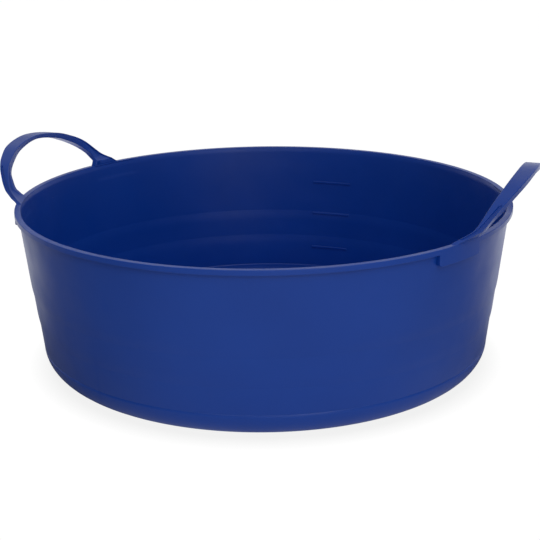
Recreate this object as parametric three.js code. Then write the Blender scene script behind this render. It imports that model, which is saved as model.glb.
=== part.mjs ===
// Shallow flexible mixing tub with two loop handles, in millimetres, +Z up.
// The origin is the centre of the underside. The handles are on +X and -X.
// The real tub is one moulding, divided here where its parts do different jobs: floor, wall, rim,
// handle roots (which stay with the rim) and the two handle loops (which flex about their feet).

import * as THREE from 'three';

// Bowl
const RIM_TOP = 187;
const RIM_RADIUS = 282.5;
const RIM_WIDTH = 7.5;
const RIM_THICKNESS = 3;
const RIM_SKIRT_DEPTH = 5.5;
const RIM_EDGE = 1;
const WALL_THICKNESS = 3;
const WALL_TOP_RADIUS = 278.4;
const WALL_FOOT_RADIUS = 259;
const FLOOR_CORNER = 28.7;

// Stacking steps: below each line the wall is a little narrower, and it narrows over the band above the line.
const STEP_LINES = [FLOOR_CORNER, 58.3, 92];
const STEP_BAND = 9.6;
const STEP_DEPTH = 0.7;

// Handle loops: outlines are drawn on the flat, then curved with the rim at their feet and leaned outward.
const LOOP_FOOT_INNER = 83;
const LOOP_FOOT_OUTER = 97;
const LOOP_THICKNESS = 4.8;
const LOOP_TOP = 53.5;
const LOOP_WIDTH = 18;
const LOOP_FOOT_WIDTH = 7;
const WIDE_FROM = 6;
const WIDE_FULLY = 52;
const LOOP_EDGE = 1.2;
const LOOP_FLATNESS = 0.8;
const FLAT_HEIGHT = 12;
const FLAT_ACROSS = 80;
// Each handle leans by so many degrees, stands outboard by so much, and is twisted: one leg stands further out.
const LEFT = { name: 'left', turn: (181 * Math.PI) / 180, lean: 29, outset: -0.5, twist: 0.042, top: 54.2 };
const RIGHT = { name: 'right', turn: 0, lean: 23, outset: 2, twist: 0, top: 58.3 };

// Flex line of each handle: its feet are rounded about this line and clear the rim's top.
const FOOT_RADIUS = 6.2;
const FOOT_END_DEPTH = 0.93 * FOOT_RADIUS;
const FOOT_CLEARANCE = 0.7;
const FLEX_X = 268;
const FLEX_HEIGHT = FOOT_RADIUS + FOOT_CLEARANCE;

// Handle roots: a pad under the rim and a ramp on top of it, outside each foot
const PAD_START = 16.8;
const PAD_END = 30.2;
const PAD_BOTTOM = RIM_TOP - 18.5;
const PAD_THICKNESS = 3.9;
const RAMP_START = LOOP_FOOT_OUTER + 1;
const RAMP_END = 122;
const RAMP_HEIGHT = 19;
const RAMP_TIP = 0.8;
const RAMP_HOLLOW = [[116, 0.9], [112, 5]];

// Level marks inside the wall
const MARK_HEIGHTS = [53, 99, 141];
const MARK_START = 86.3;
const MARK_END = 97.4;
const MARK_WIDTH = 2.6;
const MARK_THICKNESS = 0.9;

const GAP = 0.3;
const SEGMENTS = 72;
const CORNER_SEGMENTS = 6;
const BLOCK_SEGMENTS = 10;

const BLUE = 0x12318f;
const { clamp, lerp, smoothstep, degToRad: degrees } = THREE.MathUtils;
const wallTop = RIM_TOP - RIM_THICKNESS - GAP;
const stepTotal = STEP_DEPTH * STEP_LINES.length;
const wallSlope = (WALL_TOP_RADIUS - WALL_FOOT_RADIUS - stepTotal) / (wallTop - FLOOR_CORNER);

const tub = new THREE.Group();

function add(name, geometry, parent = tub) {
  const material = new THREE.MeshStandardMaterial({ color: BLUE, roughness: 0.42, metalness: 0 });
  const mesh = new THREE.Mesh(geometry, material);
  mesh.name = name;
  parent.add(mesh);
  return mesh;
}

// Outer radius of the wall at height z
function wallRadius(z) {
  const narrowing = (line) => STEP_DEPTH * clamp((line + STEP_BAND - z) / STEP_BAND, 0, 1);
  const steps = STEP_LINES.reduce((sum, line) => sum + narrowing(line), 0);
  return WALL_TOP_RADIUS - (wallTop - z) * wallSlope - steps;
}

// A ring or disc turned about Z from [radius, height] points given clockwise or anticlockwise
function turned(points) {
  const profile = points.map(([r, z]) => new THREE.Vector2(r, z));
  return new THREE.LatheGeometry(profile, SEGMENTS).rotateX(Math.PI / 2);
}

// A block curved round the Z axis, between two angles in degrees
function curvedBlock(innerRadius, outerRadius, startAngle, endAngle, height) {
  const shape = new THREE.Shape();
  shape.absarc(0, 0, outerRadius, degrees(startAngle), degrees(endAngle), false);
  shape.absarc(0, 0, innerRadius, degrees(endAngle), degrees(startAngle), true);
  return new THREE.ExtrudeGeometry(shape, { depth: height, bevelEnabled: false, curveSegments: BLOCK_SEGMENTS });
}

// Moves every vertex of a geometry by a rule that edits its position in place
function reshape(geometry, rule) {
  const position = geometry.attributes.position;
  const point = new THREE.Vector3();
  for (let i = 0; i < position.count; i += 1) {
    point.fromBufferAttribute(position, i);
    rule(point);
    position.setXYZ(i, point.x, point.y, point.z);
  }
  geometry.computeVertexNormals();
  return geometry;
}

function sideWall() {
  const kinks = STEP_LINES.flatMap((line) => [line, line + STEP_BAND]);
  kinks[0] = FLOOR_CORNER + GAP / 2;
  const heights = [...kinks, wallTop];
  const outer = heights.map((z) => [wallRadius(z), z]);
  const inner = heights.map((z) => [wallRadius(z) - WALL_THICKNESS, z]).reverse();
  return turned([...outer, ...inner, outer[0]]);
}

function floorPan() {
  const centre = WALL_FOOT_RADIUS - FLOOR_CORNER;
  const arc = (radius) => {
    const start = Math.asin(GAP / 2 / radius);
    return Array.from({ length: CORNER_SEGMENTS + 1 }, (_, i) => {
      const angle = lerp(start, Math.PI / 2, i / CORNER_SEGMENTS);
      return [centre + radius * Math.cos(angle), FLOOR_CORNER - radius * Math.sin(angle)];
    });
  };
  const underside = arc(FLOOR_CORNER).reverse();
  const inside = arc(FLOOR_CORNER - WALL_THICKNESS);
  return turned([[0, 0], ...underside, ...inside, [0, WALL_THICKNESS]]);
}

function rimBand() {
  const inner = RIM_RADIUS - RIM_WIDTH;
  const skirtInner = WALL_TOP_RADIUS + 2 * GAP;
  return turned([
    [skirtInner, RIM_TOP - RIM_SKIRT_DEPTH],
    [RIM_RADIUS, RIM_TOP - RIM_SKIRT_DEPTH],
    [RIM_RADIUS, RIM_TOP - RIM_EDGE],
    [RIM_RADIUS - RIM_EDGE, RIM_TOP],
    [inner + RIM_EDGE, RIM_TOP],
    [inner, RIM_TOP - RIM_EDGE],
    [inner, RIM_TOP - RIM_THICKNESS],
    [skirtInner, RIM_TOP - RIM_THICKNESS],
    [skirtInner, RIM_TOP - RIM_SKIRT_DEPTH],
  ]);
}

// Pad on the outside of the +X wall, against the underside of the rim's skirt, on one side of the handle
function footPad(sideOfHandle) {
  const top = RIM_TOP - RIM_SKIRT_DEPTH - GAP;
  const inner = WALL_TOP_RADIUS + 2 * GAP;
  const [start, end] = sideOfHandle > 0 ? [PAD_START, PAD_END] : [-PAD_END, -PAD_START];
  const pad = curvedBlock(inner, inner + PAD_THICKNESS, start, end, top - PAD_BOTTOM);
  pad.translate(0, 0, PAD_BOTTOM);
  return reshape(pad, (point) => {
    const radius = Math.hypot(point.x, point.y);
    const scale = 1 + ((point.z - wallTop) * wallSlope) / radius;
    point.set(point.x * scale, point.y * scale, point.z);
  });
}

// Inner edge of a loop or ramp on the +X side. It follows the rim's curve at the rim and out along the ramps,
// and runs nearly straight across between the feet.
function innerEdge(across, height, { lean, outset, twist }) {
  const rimInner = RIM_RADIUS - RIM_WIDTH;
  const curved = Math.sqrt(rimInner ** 2 - across ** 2);
  const straight = Math.sqrt(rimInner ** 2 - FLAT_ACROSS ** 2);
  const aboveRim = smoothstep(height, 0, FLAT_HEIGHT);
  const alongRamp = smoothstep(Math.abs(across), LOOP_FOOT_OUTER, RAMP_END);
  const flatness = LOOP_FLATNESS * aboveRim * (1 - alongRamp);
  const shift = (outset + twist * across) * aboveRim;
  return lerp(curved, straight, flatness) + shift + height * Math.tan(degrees(lean));
}

// A flat outline (x along the rim, y up) made into a band above the +X rim, narrow low down and wide higher up
function bandAboveRim(outline, handle, edge) {
  const options = {
    depth: LOOP_WIDTH - 2 * edge,
    bevelEnabled: edge > 0,
    bevelThickness: edge,
    bevelSize: edge,
    bevelOffset: -edge,
    bevelSegments: 1,
    curveSegments: 3,
  };
  const band = new THREE.ExtrudeGeometry(outline, options).translate(0, 0, edge);
  return reshape(band, (point) => {
    const { x: across, y: height, z: depth } = point;
    const width = lerp(LOOP_FOOT_WIDTH, LOOP_WIDTH, smoothstep(height, WIDE_FROM, WIDE_FULLY));
    const x = innerEdge(across, height, handle) + (depth / LOOP_WIDTH) * width;
    point.set(x, across, RIM_TOP + height);
  });
}

// Ramp on the rim beside a loop's foot, falling away in a hollow curve
function footRamp(sideOfHandle, handle) {
  const outline = new THREE.Shape();
  const far = sideOfHandle * RAMP_END;
  const near = sideOfHandle * RAMP_START;
  outline.moveTo(near, GAP);
  outline.lineTo(far, GAP);
  outline.lineTo(far, RAMP_TIP);
  const [[x1, y1], [x2, y2]] = RAMP_HOLLOW;
  outline.bezierCurveTo(sideOfHandle * x1, y1, sideOfHandle * x2, y2, near, RAMP_HEIGHT);
  outline.closePath();
  return bandAboveRim(outline, handle, 0);
}

// Outline of a handle loop on the flat: x runs along the rim, y up from the rim's top
function loopOutline() {
  const footEnd = FLEX_HEIGHT - FOOT_END_DEPTH;
  const underside = LOOP_TOP - LOOP_THICKNESS;
  const outerSide = [[LOOP_FOOT_OUTER, 19.8], [84, 32.6], [70, 39.6], [56, 44.4], [42, 48.2], [26, 51.4]];
  const innerSide = [[88, 9.7], [85.5, 17], [79, 24.4], [68, 31.7], [56, 37.5], [38, 43.3], [20, 47.3]];
  const vectors = (points) => points.map(([x, y]) => new THREE.Vector2(x, y));
  const mirrored = (points) => points.map(([x, y]) => [-x, y]).reverse();
  const overTop = vectors([...outerSide, [0, LOOP_TOP], ...mirrored(outerSide)]);
  const underTop = vectors([...innerSide, [0, underside], ...mirrored(innerSide)]).reverse();
  const shape = new THREE.Shape();
  shape.moveTo(LOOP_FOOT_OUTER, footEnd);
  shape.lineTo(LOOP_FOOT_OUTER, FLEX_HEIGHT);
  shape.lineTo(overTop[0].x, overTop[0].y);
  shape.splineThru(overTop.slice(1));
  shape.lineTo(-LOOP_FOOT_OUTER, FLEX_HEIGHT);
  shape.lineTo(-LOOP_FOOT_OUTER, footEnd);
  shape.lineTo(-LOOP_FOOT_INNER, footEnd);
  shape.lineTo(underTop[0].x, underTop[0].y);
  shape.splineThru(underTop.slice(1));
  shape.lineTo(LOOP_FOOT_INNER, footEnd);
  shape.closePath();
  return shape;
}

// Handle loop on the +X side, standing to its own top height. Below the flex line its feet are rounded about
// that line, so they clear the rim at every angle.
function handleLoop(handle) {
  const stretched = (across, height) => {
    const rise = (handle.top / LOOP_TOP - 1) * (1 - (across / LOOP_FOOT_OUTER) ** 2);
    return height * (1 + clamp(rise, 0, 1));
  };
  const loop = bandAboveRim(loopOutline(), handle, LOOP_EDGE);
  return reshape(loop, (point) => {
    const height = point.z - RIM_TOP;
    const raised = stretched(point.y, height) - height;
    const below = clamp((FLEX_HEIGHT - height) / FOOT_RADIUS, 0, 1);
    const leaning = point.x + raised * Math.tan(degrees(handle.lean));
    point.x = FLEX_X + (leaning - FLEX_X) * Math.sqrt(1 - below ** 2);
    point.z += raised;
  });
}

function levelMark(height) {
  const outer = wallRadius(height) - WALL_THICKNESS - 2 * GAP;
  return curvedBlock(outer - MARK_THICKNESS, outer, MARK_START, MARK_END, MARK_WIDTH)
    .translate(0, 0, height - MARK_WIDTH / 2);
}

add('floor_pan', floorPan());
add('side_wall', sideWall());
add('rim_band', rimBand());
for (const handle of [LEFT, RIGHT]) {
  const { name, turn } = handle;
  const side = new THREE.Group();
  side.rotation.z = turn;
  tub.add(side);
  add(`${name}_handle_loop`, handleLoop(handle), side);
  for (const end of ['front', 'back']) {
    const sideOfHandle = (end === 'back') === (turn === 0) ? 1 : -1;
    add(`${name}_${end}_foot_pad`, footPad(sideOfHandle), side);
    add(`${name}_${end}_foot_ramp`, footRamp(sideOfHandle, handle), side);
  }
}
MARK_HEIGHTS.forEach((height, i) => add(`level_mark_${i + 1}`, levelMark(height)));

export default tub;
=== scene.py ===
"""Looks of a shallow flexible mixing tub with two loop handles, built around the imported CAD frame.

Shapes are worked out in millimetres in the row frame (+Z up, handles on X) and made in metres. The real
tub is one satin polyethylene moulding, so neighbouring pieces sink into each other and share one plastic.
"""

import math
from collections import namedtuple

import bmesh
import bpy
import numpy as np
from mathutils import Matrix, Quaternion, Vector


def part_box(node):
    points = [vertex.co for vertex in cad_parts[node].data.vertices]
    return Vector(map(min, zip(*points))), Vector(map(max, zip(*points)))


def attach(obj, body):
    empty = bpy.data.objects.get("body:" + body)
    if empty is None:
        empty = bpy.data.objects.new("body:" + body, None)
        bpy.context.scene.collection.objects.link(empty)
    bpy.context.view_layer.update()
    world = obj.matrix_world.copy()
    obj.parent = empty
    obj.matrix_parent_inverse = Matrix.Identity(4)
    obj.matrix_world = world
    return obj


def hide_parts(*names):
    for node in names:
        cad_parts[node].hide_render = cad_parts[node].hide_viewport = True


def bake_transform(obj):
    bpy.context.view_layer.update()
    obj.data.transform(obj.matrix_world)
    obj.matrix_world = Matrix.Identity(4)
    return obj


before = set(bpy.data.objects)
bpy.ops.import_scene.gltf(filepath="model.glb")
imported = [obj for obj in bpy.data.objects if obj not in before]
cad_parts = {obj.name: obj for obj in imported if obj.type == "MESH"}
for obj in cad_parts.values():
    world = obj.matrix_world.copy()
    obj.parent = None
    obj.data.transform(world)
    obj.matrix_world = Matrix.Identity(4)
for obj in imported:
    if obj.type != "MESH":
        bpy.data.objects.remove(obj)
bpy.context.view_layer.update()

MM = 0.001


def cad_box(node):
    """Lowest and highest corner of a CAD node, in millimetres."""
    low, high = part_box(node)
    return low / MM, high / MM


# Bowl, from the frame
RIM_TOP = cad_box("rim_band")[1].z
RIM_RADIUS = cad_box("rim_band")[1].x
WALL_TOP_RADIUS = cad_box("side_wall")[1].x
WALL_TOP = cad_box("side_wall")[1].z
FLOOR_CORNER = cad_box("floor_pan")[1].z
WALL_FOOT_RADIUS = cad_box("floor_pan")[1].x
MARKS = [cad_box(f"level_mark_{i}") for i in (1, 2, 3)]
PAD_BOTTOM = cad_box("right_back_foot_pad")[0].z

# Wall. SINK is how far a piece reaches into its neighbour. Each stacking step is crisp on one face of the
# wall and soft on the other.
WALL = 3.0
SINK = 1.0
STEP_LINES = [58.3, 92.0]
STEP_BAND = 9.6
STEP_DEPTH = 0.9
CRISP = 0.35
SOFT = 4.0
RINGS_OUTSIDE = (110, 130, 150, 165, 172)
RINGS_INSIDE = [110, 130, 150, *np.arange(160, PAD_BOTTOM + 5, 1), 176, 180]
ROUND_SEGMENTS = 540
CORNER_POINTS = 6
CORNER_LIMIT = 0.49
WALL_SLOPE = (WALL_TOP_RADIUS - WALL_FOOT_RADIUS - STEP_DEPTH * len(STEP_LINES)) / (WALL_TOP - FLOOR_CORNER)

# Floor, as (radius, height). The gate is the moulding mark in the middle of the underside.
FLOOR_RINGS = (60, 140, 200)
FLOOR_CORNER_POINTS = 14
GATE = [(0, 1.1), (2.6, 1.1), (3.4, 0.25), (9, 0.25), (10.5, 0)]
DIMPLE = [(9, WALL), (5, WALL - 0.3), (0, WALL - 0.4)]

# Rim
RIM_WIDTH = 6.5
RIM_PLATE = 2.6
RIM_EASE = 0.9
RIM_OUTER_EASE = 1.0
SKIRT_DEPTH = 5.5
SKIRT_THICKNESS = 1.9
SKIRT_OUTER_EASE = 0.5
SKIRT_INNER_EASE = 0.4
INNER_RIM = RIM_RADIUS - RIM_WIDTH

# Foot pads. Start and end are in degrees from the handle's centre. PAD_ROOT is how far a pad starts inside
# the wall and under the rim's top, and PAD_PROUD how far it stands past the rim.
PAD_START = 16.8
PAD_END = 30.2
PAD_DRAFT = 0.01
PAD_CORNER = 4.0
PAD_CORNER_POINTS = 6
PAD_BEVEL = 1.0
PAD_ROOT = 1.5
PAD_PROUD = 0.1
PAD_STRIP = 1.5
IMPRESSION_DEPTH = 0.35
IMPRESSION_EASE = 3
IMPRESSION_EASE_DEGREES = 1

# Level bars
MARK_CENTRE_DEGREES = 91.85
MARK_HALF_DEGREES = 5.5
MARK_ROOT = 0.6
MARK_THICKNESS = 1.6
MARK_BEVEL = 0.6
MARK_STRIP = 2.0
BEVEL_SEGMENTS = 4

# Handle stations from the foot to the crest: opening edge (y, h), outer edge (y, h), width across the strap.
# h is the height above the rim's top.
STATIONS = [
    (84.5, -3.6, 123, -3.6, 6.7),
    (85.5, 0.8, 118.5, 0.8, 6.8),
    (87.5, 6, 111, 6.5, 7.2),
    (88, 10.5, 103.5, 13, 8.0),
    (85.5, 17, 97, 20.5, 9.4),
    (78, 25.5, 85, 32.2, 11.6),
    (62, 34.8, 68, 41, 14.4),
    (38, 43.3, 41, 49.4, 17.0),
    (0, 48.7, 0, 53.5, 18.0),
]
STATION_STEPS = 24
DRAWN_TOP = 53.5
FOOT_SPREAD = 97.0
RAMP_END = 123.0

# The strap's inner side goes from the rim's curve to nearly straight over FLAT_HEIGHT.
FLAT_HEIGHT = 12.0
FLAT_ACROSS = 80.0
FLATNESS = 0.8

# Each section has a bead round the opening, a web set back beside it, a lip at its outer edge, and a channel
# in that edge between two stations. WEB_FROM and WEB_FULL are section lengths beyond the bead.
EDGE_ROUND = 1.1
EDGE_SHARE = 0.32
BEAD = 5.4
BEAD_EASE = 1.3
BEAD_SAMPLED = 1.6
BEAD_SHARE = 0.6
WEB_FROM = 3
WEB_FULL = 7
WEB_SET_BACK = 1.9
WEB_STATIONS = (1, 2.5)
LIP = 1.4
LIP_EASE = 1
CHANNEL_LIP = 1.3
CHANNEL_DEPTH = 1.8
CHANNEL_TOP_WIDTH = 4.2
CHANNEL_FROM = 1.5
CHANNEL_TO = 5.2
CHANNEL_END = 0.12
CHANNEL_OUTER_EASE = 0.2
CHANNEL_INNER_EASE = 0.4
BEAD_POINTS = 12
WEB_POINTS = 26
CHANNEL_POINTS = 30
OUTER_SIDE_POINTS = 18
OPENING_POINTS = 9
QUARTER = np.linspace(0, math.pi / 2, 5)[1:-1]

# turn is about Z. lean is in degrees. outset is how far the handle stands outboard, and twist, in mm per mm
# across, sets one leg further out than the other. Both grow over OUTSET_HEIGHT.
Setting = namedtuple("Setting", "turn lean outset twist")
LEFT_SET_ROUND = math.radians(1)
HANDLES = {
    "left": Setting(turn=math.pi + LEFT_SET_ROUND, lean=29.0, outset=-1.0, twist=0.042),
    "right": Setting(turn=0.0, lean=23.0, outset=2.0, twist=0.0),
}
OUTSET_HEIGHT = 5.0

# Plastic. Scales are in noise cells per metre, and relief in metres.
BLUE_DEEP = (0.0015, 0.047, 0.335)
BLUE_PALE = (0.0022, 0.052, 0.362)
DUST = (0.45, 0.5, 0.62)
DUST_SCALE = 34
DUST_COVER = 0.55
ROUGHNESS = 0.40
SKIN_SCALE = 900
SKIN_RELIEF = 0.00025
WAVE_SCALE = 14
WAVE_RELIEF = 0.004

# Studio. Azimuths are measured from the camera's, to its right. SURROUND is brightness by the height of the
# direction looked in, from -1 below to 1 above.
VIEW_AZIMUTH = 22.0
CAMERA_PLACE = (0.5249, -1.2992, 0.5400)
CAMERA_TARGET = (0, 0, 0.0981)
CAMERA_LENS = 83.5
CAMERA_SENSOR = 36
CAMERA_ROLL = -0.74
CAMERA_SHIFT = (0.0102, 0.00065)
SURROUND = [(-0.1, 0.42), (0.12, 0.40), (0.32, 0.12), (0.58, 0.14), (0.76, 1.0), (1.0, 0.82)]
WHITE = (1, 1, 1, 1)
SEEN_WHITE = 1.02
SIDE_GAIN = 0.25
BRIGHT_SIDE = 60.0
BACKDROP = 0.75
FLOOR_HALF = 6
FLOOR_SHADE = 0.45
FRONT_GLOW = 0.28
FRONT_AZIMUTH = 8
BACK_GLOW = 1.06
BACK_AZIMUTH = 178
CONTACT_REACH = 0.035
CONTACT_SHADE = 0.87
CONTACT_SAMPLES = 16


# Shapes


def smooth(value, low, high):
    """0 below low, 1 above high, with an even S between."""
    t = np.clip((value - low) / (high - low), 0, 1)
    return t * t * (3 - 2 * t)


def mesh_object(name, points, faces):
    """A closed, smooth-shaded mesh from points in millimetres."""
    mesh = bpy.data.meshes.new(name)
    mesh.from_pydata([Vector(p) * MM for p in points], [], faces)
    return finished_object(name, mesh)


def finished_object(name, mesh):
    """An object from a mesh, cleaned and smooth-shaded. Its rest places are kept for the material."""
    work = bmesh.new()
    work.from_mesh(mesh)
    bmesh.ops.remove_doubles(work, verts=work.verts, dist=1e-6)
    bmesh.ops.dissolve_degenerate(work, edges=work.edges, dist=1e-7)
    bmesh.ops.recalc_face_normals(work, faces=work.faces)
    work.to_mesh(mesh)
    work.free()
    mesh.shade_smooth()
    rest = mesh.attributes.new("rest", "FLOAT_VECTOR", "POINT")
    places = np.zeros(len(mesh.vertices) * 3, np.float32)
    mesh.vertices.foreach_get("co", places)
    rest.data.foreach_set("vector", places)
    obj = bpy.data.objects.new(name, mesh)
    bpy.context.scene.collection.objects.link(obj)
    weighted = obj.modifiers.new("even shading", "WEIGHTED_NORMAL")
    weighted.keep_sharp = True
    return obj


def toward(corner, other, reach):
    """The point at reach from a corner towards another, kept short of halfway."""
    away = other - corner
    return corner + away * min(reach / np.linalg.norm(away), CORNER_LIMIT)


def rounded(corners):
    """A closed profile from [r, z, reach] corners. Each is eased from reach before it to reach after it."""
    points = []
    for i, (r, z, reach) in enumerate(corners):
        corner = np.array([r, z])
        if reach == 0:
            points.append(corner)
            continue
        start = toward(corner, np.array(corners[i - 1][:2]), reach)
        end = toward(corner, np.array(corners[(i + 1) % len(corners)][:2]), reach)
        for t in np.linspace(0, 1, CORNER_POINTS):
            points.append((1 - t) ** 2 * start + 2 * t * (1 - t) * corner + t * t * end)
    return points


def lathe(name, profile, reshape=None):
    """A ring or disc turned about Z. reshape gives a new radius from radius, height and angle."""
    angles = np.linspace(0, 2 * math.pi, ROUND_SEGMENTS, endpoint=False)
    points = []
    for r, z in profile:
        radii = np.full(len(angles), r) if reshape is None else reshape(r, z, angles)
        points += [(radius * math.cos(a), radius * math.sin(a), z) for radius, a in zip(radii, angles)]
    faces = []
    for i in range(len(profile)):
        this = i * ROUND_SEGMENTS
        following = (i + 1) % len(profile) * ROUND_SEGMENTS
        for k in range(ROUND_SEGMENTS):
            n = (k + 1) % ROUND_SEGMENTS
            faces.append((this + k, this + n, following + n, following + k))
    return mesh_object(name, points, faces)


def wall_radius(z):
    """Outer radius of the wall at height z. It narrows a little more over the band above each step line."""
    steps = sum(STEP_DEPTH * min(max((line + STEP_BAND - z) / STEP_BAND, 0), 1) for line in STEP_LINES)
    return WALL_TOP_RADIUS - (WALL_TOP - z) * WALL_SLOPE - steps


def impression(r, z, angles):
    """The inner wall is pushed out a little behind each foot pad."""
    if r > wall_radius(z) - WALL / 2:
        return np.full(len(angles), r)
    edge = IMPRESSION_EASE_DEGREES
    from_handle = np.abs(np.degrees(np.arcsin(np.sin(angles))))
    after_start = smooth(from_handle, PAD_START - edge, PAD_START + edge)
    before_end = 1 - smooth(from_handle, PAD_END - edge, PAD_END + edge)
    patch = after_start * before_end * smooth(z, PAD_BOTTOM - IMPRESSION_EASE, PAD_BOTTOM + IMPRESSION_EASE)
    return r + IMPRESSION_DEPTH * patch


def side_wall():
    foot = FLOOR_CORNER - SINK
    head = RIM_TOP - RIM_EASE
    outer = [(wall_radius(foot), foot, 0)]
    inner = [(wall_radius(foot) - WALL, foot, 0)]
    for line in STEP_LINES:
        top = line + STEP_BAND
        outer += [(wall_radius(line), line, CRISP), (wall_radius(top), top, SOFT)]
        inner += [(wall_radius(line) - WALL, line, SOFT), (wall_radius(top) - WALL, top, CRISP)]
    outer += [(wall_radius(z), z, 0) for z in (*RINGS_OUTSIDE, head)]
    inner += [(wall_radius(z) - WALL, z, 0) for z in (*RINGS_INSIDE, head)]
    return lathe("tub_side_wall", rounded(outer + inner[::-1]), impression)


def floor_pan():
    centre = WALL_FOOT_RADIUS - FLOOR_CORNER
    angles = np.linspace(0, math.pi / 2, FLOOR_CORNER_POINTS)

    def corner(radius):
        return [(centre + radius * math.sin(a), FLOOR_CORNER - radius * math.cos(a)) for a in angles]

    profile = GATE + [(r, 0) for r in FLOOR_RINGS] + corner(FLOOR_CORNER)
    profile += corner(FLOOR_CORNER - WALL)[::-1] + [(r, WALL) for r in FLOOR_RINGS[::-1]] + DIMPLE
    return lathe("tub_floor_pan", profile)


def rim_band():
    """Flat ring with a turned-down skirt. Its lower inner corner is sunk in the wall."""
    inner = wall_radius(RIM_TOP) - WALL
    skirt_inner = RIM_RADIUS - SKIRT_THICKNESS
    profile = rounded([
        (RIM_RADIUS, RIM_TOP, RIM_OUTER_EASE),
        (inner, RIM_TOP, RIM_EASE),
        (inner, RIM_TOP - 1.5 * RIM_EASE, 0),
        (inner + SINK, RIM_TOP - RIM_PLATE, 0),
        (skirt_inner, RIM_TOP - RIM_PLATE, SKIRT_OUTER_EASE),
        (skirt_inner, RIM_TOP - SKIRT_DEPTH, SKIRT_INNER_EASE),
        (RIM_RADIUS, RIM_TOP - SKIRT_DEPTH, SKIRT_OUTER_EASE),
    ])
    return lathe("tub_rim_band", profile)


def plate(name, outline, depth, bevel, strip, place):
    """A flat outline given depth and a bevelled far side, cut into strips, then put in place by a rule from
    (along, up, out) to a point in the row frame."""
    work = bmesh.new()
    base = work.faces.new([work.verts.new((s, u, 0)) for s, u in outline])
    grown = bmesh.ops.extrude_face_region(work, geom=[base])["geom"]
    far = [v for v in grown if isinstance(v, bmesh.types.BMVert)]
    bmesh.ops.translate(work, verts=far, vec=(0, 0, depth))
    edges = [e for e in work.edges if all(v in far for v in e.verts)]
    bmesh.ops.bevel(
        work, geom=edges, offset=bevel, segments=BEVEL_SEGMENTS, profile=0.5, affect="EDGES",
        clamp_overlap=True,
    )
    low = min(s for s, _ in outline)
    high = max(s for s, _ in outline)
    for s in np.arange(low + strip / 2, high, strip):
        geometry = work.verts[:] + work.edges[:] + work.faces[:]
        bmesh.ops.bisect_plane(work, geom=geometry, plane_co=(s, 0, 0), plane_no=(1, 0, 0))
    bmesh.ops.triangulate(work, faces=[f for f in work.faces if len(f.verts) > 4])
    for v in work.verts:
        v.co = Vector(place(*v.co)) * MM
    mesh = bpy.data.meshes.new(name)
    work.to_mesh(mesh)
    work.free()
    return finished_object(name, mesh)


def foot_pad(side, turn, side_of_handle, end):
    """Thickened patch under the rim's skirt, flush with it, on one side of one handle."""
    per_degree = (RIM_RADIUS - 1) * math.radians(1)
    start, stop = PAD_START * per_degree, PAD_END * per_degree
    top = RIM_TOP - PAD_ROOT
    low_corner = PAD_BOTTOM + PAD_CORNER
    outline = [(start, top), (stop, top)]
    for centre, first in ((stop - PAD_CORNER, 0), (start + PAD_CORNER, -math.pi / 2)):
        for a in np.linspace(first, first - math.pi / 2, PAD_CORNER_POINTS):
            outline.append((centre + PAD_CORNER * math.cos(a), low_corner + PAD_CORNER * math.sin(a)))
    base = WALL_TOP_RADIUS - PAD_ROOT
    face = RIM_RADIUS + PAD_PROUD

    def place(along, up, out):
        angle = side_of_handle * along / per_degree * math.radians(1) + turn
        radius = min(base + out - (WALL_TOP - up) * PAD_DRAFT, face)
        return radius * math.cos(angle), radius * math.sin(angle), up

    return plate(f"{side}_{end}_pad", outline, face - base, PAD_BEVEL, PAD_STRIP, place)


def level_mark(index):
    """Raised bar on the inside of the wall at +Y."""
    low, high = MARKS[index]
    height = (low.z + high.z) / 2
    half_width = (high.z - low.z) / 2
    radius = wall_radius(height) - WALL
    half = radius * math.radians(MARK_HALF_DEGREES)
    centre = math.radians(MARK_CENTRE_DEGREES)
    outline = [(-half, -half_width), (half, -half_width), (half, half_width), (-half, half_width)]

    def place(along, up, out):
        angle = centre + along / radius
        here = wall_radius(height + up) - WALL + MARK_ROOT - out
        return here * math.cos(angle), here * math.sin(angle), height + up

    return plate(f"level_bar_{index + 1}", outline, MARK_THICKNESS, MARK_BEVEL, MARK_STRIP, place)


# Handles


def through(points, steps):
    """Points on a Catmull-Rom curve through the given rows, mirrored-even at the last row."""
    rows = np.array(points, float)
    first = 2 * rows[0] - rows[1]
    last = rows[-2] * np.array([-1, 1, -1, 1, 1])
    rows = np.vstack([first, rows, last])
    curve = []
    for i in range(1, len(rows) - 2):
        a, b, c, d = rows[i - 1:i + 3]
        for t in np.arange(steps) / steps:
            bend = (2 * a - 5 * b + 4 * c - d) * t ** 2 + (3 * b - a - 3 * c + d) * t ** 3
            curve.append(0.5 * (2 * b + (c - a) * t + bend))
    curve.append(rows[-2])
    return np.array(curve)


def inner_edge(across, height, lean):
    """x of the handle's inner side on +X: the rim's curve at the rim, nearly straight between the feet."""
    curved = np.sqrt(INNER_RIM ** 2 - across ** 2)
    straight = math.sqrt(INNER_RIM ** 2 - FLAT_ACROSS ** 2)
    between_feet = 1 - smooth(np.abs(across), FOOT_SPREAD, RAMP_END)
    flatness = FLATNESS * smooth(height, 0, FLAT_HEIGHT) * between_feet
    return curved + (straight - curved) * flatness + np.maximum(height, 0) * math.tan(math.radians(lean))


def inner_side(length, edge, station):
    """The section's side towards the bowl: bead, web set back beside it, and lip."""
    web_here = smooth(length, BEAD + WEB_FROM, BEAD + WEB_FULL)
    above_rim = smooth(station, *WEB_STATIONS)
    near = np.linspace(edge, min(BEAD + BEAD_SAMPLED, length * BEAD_SHARE), BEAD_POINTS)
    far = np.linspace(near[-1], length - edge, WEB_POINTS)[1:]
    points = []
    for a in np.concatenate([near, far]):
        web = smooth(a, BEAD, BEAD + BEAD_EASE) * (1 - smooth(a, length - LIP - LIP_EASE, length - LIP))
        points.append((a, WEB_SET_BACK * web * web_here * above_rim))
    return points


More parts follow.
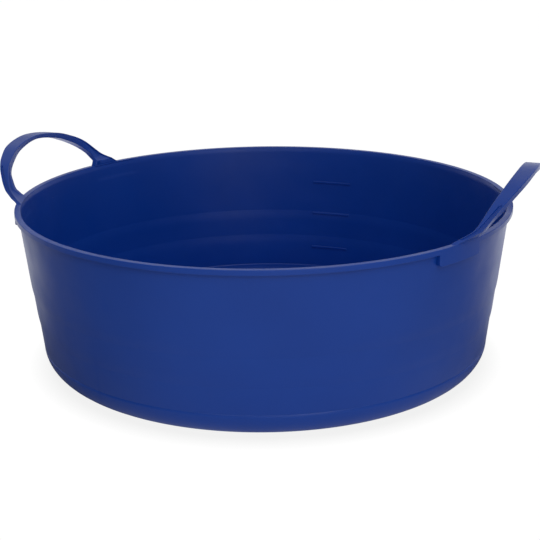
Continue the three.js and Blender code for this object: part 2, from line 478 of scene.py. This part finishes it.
def outer_edge(length, width, edge, station):
    """The section's outer edge, with the channel cut into it. The channel moves outboard up the leg."""
    started = smooth(station, CHANNEL_FROM, CHANNEL_FROM + CHANNEL_END)
    stopped = smooth(station, CHANNEL_TO - CHANNEL_END, CHANNEL_TO)
    upward = smooth(station, CHANNEL_FROM, CHANNEL_TO)
    low = CHANNEL_LIP + upward * (width - CHANNEL_LIP - CHANNEL_TOP_WIDTH)
    high = width - CHANNEL_LIP
    points = []
    for b in np.linspace(edge, width - edge, CHANNEL_POINTS):
        entered = smooth(b, low - CHANNEL_OUTER_EASE, low + CHANNEL_INNER_EASE)
        left = smooth(b, high - CHANNEL_INNER_EASE, high + CHANNEL_OUTER_EASE)
        cut = entered * (1 - left)
        points.append((length - CHANNEL_DEPTH * cut * (started * (1 - stopped)), b))
    return points


def section(length, width, station):
    """One closed section of the handle as (along, depth) points. along runs from the opening to the outer
    edge, depth from the inner side to the outer side."""
    r = min(EDGE_ROUND, length * EDGE_SHARE, width * EDGE_SHARE)
    points = inner_side(length, r, station)
    points += [(length - r + r * math.sin(a), r - r * math.cos(a)) for a in QUARTER]
    points += outer_edge(length, width, r, station)
    points += [(length - r + r * math.cos(a), width - r + r * math.sin(a)) for a in QUARTER]
    points += [(a, width) for a in np.linspace(length - r, r, OUTER_SIDE_POINTS)]
    points += [(r - r * math.sin(a), width - r + r * math.cos(a)) for a in QUARTER]
    points += [(0, b) for b in np.linspace(width - r, r, OPENING_POINTS)]
    points += [(r - r * math.cos(a), r - r * math.sin(a)) for a in QUARTER]
    return points


def stretched(height, across, top):
    """A drawn height made taller to reach the handle's own top: most at the crest, not at all at the feet."""
    return height * (1 + (top / DRAWN_TOP - 1) * np.clip(1 - (across / FOOT_SPREAD) ** 2, 0, 1))


def section_places(row, setting, top):
    """The points of one section on +X, before the handle's turn. No section goes inboard of the rim."""
    y1, h1, y2, h2, width, station = row
    length = math.hypot(y2 - y1, h2 - h1)
    loop = np.array(section(length, width, station))
    share = loop[:, 0] / length
    across = y1 + (y2 - y1) * share
    height = stretched(h1 + (h2 - h1) * share, across, top)
    upright = stretched(h2, y2, top)
    shift = (setting.outset + setting.twist * across) * smooth(upright, 0, OUTSET_HEIGHT)
    rim_circle = np.sqrt(INNER_RIM ** 2 - across ** 2)
    x = np.maximum(inner_edge(across, upright, setting.lean) + shift, rim_circle) + loop[:, 1]
    return np.column_stack([x, across, RIM_TOP + height])


def handle(side, setting):
    """A loop handle with its ramps, one closed sheet from the rim up."""
    top = cad_box(f"{side}_handle_loop")[1].z - RIM_TOP
    half = through(STATIONS, STATION_STEPS)
    rows = [(*row, i / STATION_STEPS) for i, row in enumerate(half)]
    rows += [(-y1, h1, -y2, h2, w, s) for y1, h1, y2, h2, w, s in rows[-2::-1]]
    sections = [section_places(row, setting, top) for row in rows]
    places = np.vstack(sections)
    turn = setting.turn
    spin = np.array([[math.cos(turn), -math.sin(turn)], [math.sin(turn), math.cos(turn)]])
    places[:, :2] = places[:, :2] @ spin.T
    count = len(sections[0])
    faces = []
    for i in range(len(rows) - 1):
        this = i * count
        following = this + count
        for k in range(count):
            n = (k + 1) % count
            faces.append((this + k, this + n, following + n, following + k))
    faces.append(tuple(range(count)))
    faces.append(tuple((len(rows) - 1) * count + k for k in range(count)))
    return mesh_object(f"{side}_handle", places.tolist(), faces)


# Shader nodes


class Graph:
    """The shader nodes of a material or world."""

    def __init__(self, owner):
        owner.use_nodes = True
        self.nodes = owner.node_tree.nodes
        self.links = owner.node_tree.links

    def put(self, socket, value):
        """Link another node's output into a socket, or set the socket to a plain value."""
        if isinstance(value, bpy.types.NodeSocket):
            self.links.new(value, socket)
        else:
            socket.default_value = value

    def node(self, kind, inputs=None):
        node = self.nodes.new(kind)
        for name, value in (inputs or {}).items():
            self.put(node.inputs[name], value)
        return node

    def calculate(self, operation, *values):
        node = self.nodes.new("ShaderNodeMath")
        node.operation = operation
        for socket, value in zip(node.inputs, values):
            self.put(socket, value)
        return node.outputs["Value"]

    def vector(self, operation, *values):
        node = self.nodes.new("ShaderNodeVectorMath")
        node.operation = operation
        for socket, value in zip(node.inputs, values):
            self.put(socket, value)
        return node

    def remap(self, value, low, high, out_low=0, out_high=1, shape="LINEAR"):
        """A value's range made into another. low may be the larger one."""
        node = self.nodes.new("ShaderNodeMapRange")
        node.interpolation_type = shape
        ranges = {"From Min": low, "From Max": high, "To Min": out_low, "To Max": out_high, "Value": value}
        for name, setting in ranges.items():
            self.put(node.inputs[name], setting)
        return node.outputs["Result"]

    def ease(self, value, low, high):
        """0 at low, 1 at high, with an even S between."""
        return self.remap(value, low, high, shape="SMOOTHSTEP")

    def facing(self, vector, azimuth):
        """How far a vector points towards an azimuth, from -1 to 1."""
        flat = self.vector("MULTIPLY", vector, (1, 1, 0)).outputs["Vector"]
        unit = self.vector("NORMALIZE", flat).outputs["Vector"]
        return self.vector("DOT_PRODUCT", unit, direction(azimuth)).outputs["Value"]

    def mix(self, factor, a, b):
        """Colour between a and b."""
        node = self.nodes.new("ShaderNodeMix")
        node.data_type = "RGBA"
        for name, value in (("Factor", factor), ("A", a), ("B", b)):
            self.put(node.inputs[name], (*value, 1) if isinstance(value, tuple) else value)
        return node.outputs["Result"]

    def noise(self, place, scale, detail, stretch=None):
        if stretch:
            mapping = self.node("ShaderNodeMapping", {"Scale": stretch, "Vector": place})
            place = mapping.outputs["Vector"]
        settings = {"Scale": scale, "Detail": detail, "Vector": place}
        return self.node("ShaderNodeTexNoise", settings).outputs["Fac"]

    def seen_or_lit(self, seen, lit):
        """A shader that is the first one to the camera and the second to everything else."""
        pick = self.nodes.new("ShaderNodeMixShader")
        self.put(pick.inputs["Fac"], self.nodes.new("ShaderNodeLightPath").outputs["Is Camera Ray"])
        self.put(pick.inputs[1], lit)
        self.put(pick.inputs[2], seen)
        return pick.outputs["Shader"]


def direction(azimuth):
    """Flat unit vector at an azimuth."""
    a = math.radians(VIEW_AZIMUTH + azimuth)
    return math.sin(a), -math.cos(a), 0


# Materials


def plastic_colour(graph, place):
    """Clouded blue with a few pale specks of dust."""
    cloud = graph.remap(graph.noise(place, 9, 4), 0.35, 0.65)
    blue_mix = graph.mix(cloud, BLUE_DEEP, BLUE_PALE)
    cells = graph.node("ShaderNodeTexVoronoi", {"Scale": DUST_SCALE, "Vector": place})
    size = graph.remap(graph.noise(place, 13, 1), 0.55, 0.8, 0.004, 0.035)
    speck = graph.calculate("LESS_THAN", cells.outputs["Distance"], size)
    return graph.mix(graph.calculate("MULTIPLY", speck, DUST_COVER), blue_mix, DUST)


def plastic_roughness(graph, place):
    """Satin, with duller patches and fine upright scuffs."""
    patch = graph.remap(graph.noise(place, 26, 5), 0.3, 0.7, -0.05, 0.05)
    scuff = graph.remap(graph.noise(place, 60, 6, (1, 1, 0.08)), 0.62, 0.78, 0, 0.12)
    return graph.calculate("ADD", graph.calculate("ADD", patch, scuff), ROUGHNESS)


def plastic_relief(graph, place):
    """Fine orange-peel skin on slow waves in the wall."""
    skin = graph.node("ShaderNodeBump", {
        "Strength": 0.25, "Distance": SKIN_RELIEF, "Height": graph.noise(place, SKIN_SCALE, 2),
    })
    waves = graph.node("ShaderNodeBump", {
        "Strength": 0.35, "Distance": WAVE_RELIEF, "Height": graph.noise(place, WAVE_SCALE, 2),
        "Normal": skin.outputs["Normal"],
    })
    return waves.outputs["Normal"]


def plastic():
    """Satin blue polyethylene."""
    material = bpy.data.materials.new("blue_polyethylene")
    graph = Graph(material)
    shader = graph.nodes["Principled BSDF"]
    rest = graph.node("ShaderNodeAttribute")
    rest.attribute_name = "rest"
    place = rest.outputs["Vector"]
    graph.put(shader.inputs["Base Color"], plastic_colour(graph, place))
    graph.put(shader.inputs["Roughness"], plastic_roughness(graph, place))
    graph.put(shader.inputs["Normal"], plastic_relief(graph, place))
    graph.put(shader.inputs["IOR"], 1.5)
    graph.put(shader.inputs["Specular IOR Level"], 0.35)
    return material


def floor_material():
    """Pale floor that the camera sees as white, with a soft contact shade."""
    material = bpy.data.materials.new("pale_floor")
    graph = Graph(material)
    graph.nodes.clear()
    near = graph.node("ShaderNodeAmbientOcclusion", {"Distance": CONTACT_REACH})
    near.samples = CONTACT_SAMPLES
    shade = graph.remap(near.outputs["AO"], 0.35, 0.93, CONTACT_SHADE, SEEN_WHITE)
    seen = graph.node("ShaderNodeEmission", {"Strength": shade})
    place = graph.node("ShaderNodeTexCoord").outputs["Object"]
    ahead = graph.ease(graph.facing(place, FRONT_AZIMUTH), 0.3, 0.95)
    behind = graph.ease(graph.facing(place, BACK_AZIMUTH), -0.1, 0.7)
    front = graph.calculate("MULTIPLY", ahead, FRONT_GLOW)
    back = graph.calculate("MULTIPLY", behind, BACK_GLOW)
    matt = graph.node("ShaderNodeBsdfPrincipled", {
        "Base Color": (FLOOR_SHADE, FLOOR_SHADE, FLOOR_SHADE, 1), "Roughness": 0.9,
        "Emission Color": WHITE, "Emission Strength": graph.calculate("ADD", front, back),
    })
    out = graph.node("ShaderNodeOutputMaterial")
    graph.put(out.inputs["Surface"], graph.seen_or_lit(seen.outputs["Emission"], matt.outputs["BSDF"]))
    return material


# Studio


def surround_profile(graph, height):
    """Brightness of the surroundings by height, from SURROUND."""
    from_bottom = graph.calculate("MULTIPLY_ADD", height, 0.5, 0.5)
    profile = graph.node("ShaderNodeFloatCurve", {"Value": from_bottom})
    curve = profile.mapping.curves[0]
    for z, strength in SURROUND[1:-1]:
        curve.points.new((z + 1) / 2, strength)
    curve.points[0].location = (0, SURROUND[0][1])
    curve.points[-1].location = (1, SURROUND[-1][1])
    profile.mapping.update()
    return profile.outputs["Value"]


def surroundings():
    """A studio that is white to the camera: bright overhead, pale round the horizon and dim between, with a
    taller backdrop."""
    world = bpy.data.worlds.new("studio")
    bpy.context.scene.world = world
    graph = Graph(world)
    graph.nodes.clear()
    place = graph.node("ShaderNodeTexCoord").outputs["Generated"]
    height = graph.node("ShaderNodeSeparateXYZ", {"Vector": place}).outputs["Z"]
    side = graph.calculate("MULTIPLY_ADD", graph.facing(place, BRIGHT_SIDE), SIDE_GAIN, 1)
    around = graph.calculate("MULTIPLY", surround_profile(graph, height), side)
    behind = graph.ease(graph.facing(place, 180), 0.2, 0.9)
    low = graph.ease(height, 0.75, 0.45)
    backdrop = graph.calculate("MULTIPLY", graph.calculate("MULTIPLY", behind, low), BACKDROP)
    lit = graph.node("ShaderNodeBackground", {"Strength": graph.calculate("ADD", around, backdrop)})
    seen = graph.node("ShaderNodeBackground", {"Color": WHITE, "Strength": SEEN_WHITE})
    out = graph.node("ShaderNodeOutputWorld")
    shown = graph.seen_or_lit(seen.outputs["Background"], lit.outputs["Background"])
    graph.put(out.inputs["Surface"], shown)


def softbox(name, azimuth, elevation, distance, size, power):
    """A round area light on a sphere about the tub, which the camera doesn't see."""
    light = bpy.data.lights.new(name, "AREA")
    light.shape = "DISK"
    light.size = size
    light.energy = power
    obj = bpy.data.objects.new(name, light)
    bpy.context.scene.collection.objects.link(obj)
    e = math.radians(elevation)
    away = Vector(direction(azimuth)) * math.cos(e) + Vector((0, 0, math.sin(e)))
    obj.location = away * distance
    obj.rotation_mode = "QUATERNION"
    obj.rotation_quaternion = away.to_track_quat("Z", "Y")
    obj.visible_camera = False


def camera():
    data = bpy.data.cameras.new("camera")
    data.lens = CAMERA_LENS
    data.sensor_width = CAMERA_SENSOR
    data.shift_x, data.shift_y = CAMERA_SHIFT
    obj = bpy.data.objects.new("camera", data)
    bpy.context.scene.collection.objects.link(obj)
    obj.location = CAMERA_PLACE
    obj.rotation_mode = "QUATERNION"
    back = (Vector(CAMERA_PLACE) - Vector(CAMERA_TARGET)).to_track_quat("Z", "Y")
    obj.rotation_quaternion = back @ Quaternion((0, 0, 1), math.radians(CAMERA_ROLL))
    bpy.context.scene.camera = obj


def floor():
    mesh = bpy.data.meshes.new("floor")
    h = FLOOR_HALF
    mesh.from_pydata([(-h, -h, 0), (h, -h, 0), (h, h, 0), (-h, h, 0)], [], [(0, 1, 2, 3)])
    obj = bpy.data.objects.new("floor", mesh)
    bpy.context.scene.collection.objects.link(obj)
    obj.data.materials.append(floor_material())


# Build

blue = plastic()


def dress(obj, *nodes):
    """Give a piece its plastic and hide the CAD nodes that it stands in for."""
    obj.data.materials.append(blue)
    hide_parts(*nodes)


for build, node in ((floor_pan, "floor_pan"), (side_wall, "side_wall"), (rim_band, "rim_band")):
    piece = build()
    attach(piece, "tub")
    dress(piece, node)

for index in range(len(MARKS)):
    piece = level_mark(index)
    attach(piece, "tub")
    dress(piece, f"level_mark_{index + 1}")

for side, setting in HANDLES.items():
    piece = handle(side, setting)
    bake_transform(piece)
    dress(piece, f"{side}_handle_loop", f"{side}_front_foot_ramp", f"{side}_back_foot_ramp")
    for end in ("front", "back"):
        side_of_handle = 1 if (end == "back") == (side == "right") else -1
        piece = foot_pad(side, setting.turn, side_of_handle, end)
        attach(piece, "tub")
        dress(piece, f"{side}_{end}_foot_pad")

floor()
surroundings()
softbox("left_box", azimuth=-18, elevation=36, distance=2.6, size=0.7, power=2.5)
softbox("right_box", azimuth=23, elevation=36, distance=2.6, size=0.7, power=6)
softbox("low_front", azimuth=14, elevation=8, distance=3.0, size=1.6, power=7.5)
camera()
bpy.context.scene.view_settings.view_transform = "Standard"
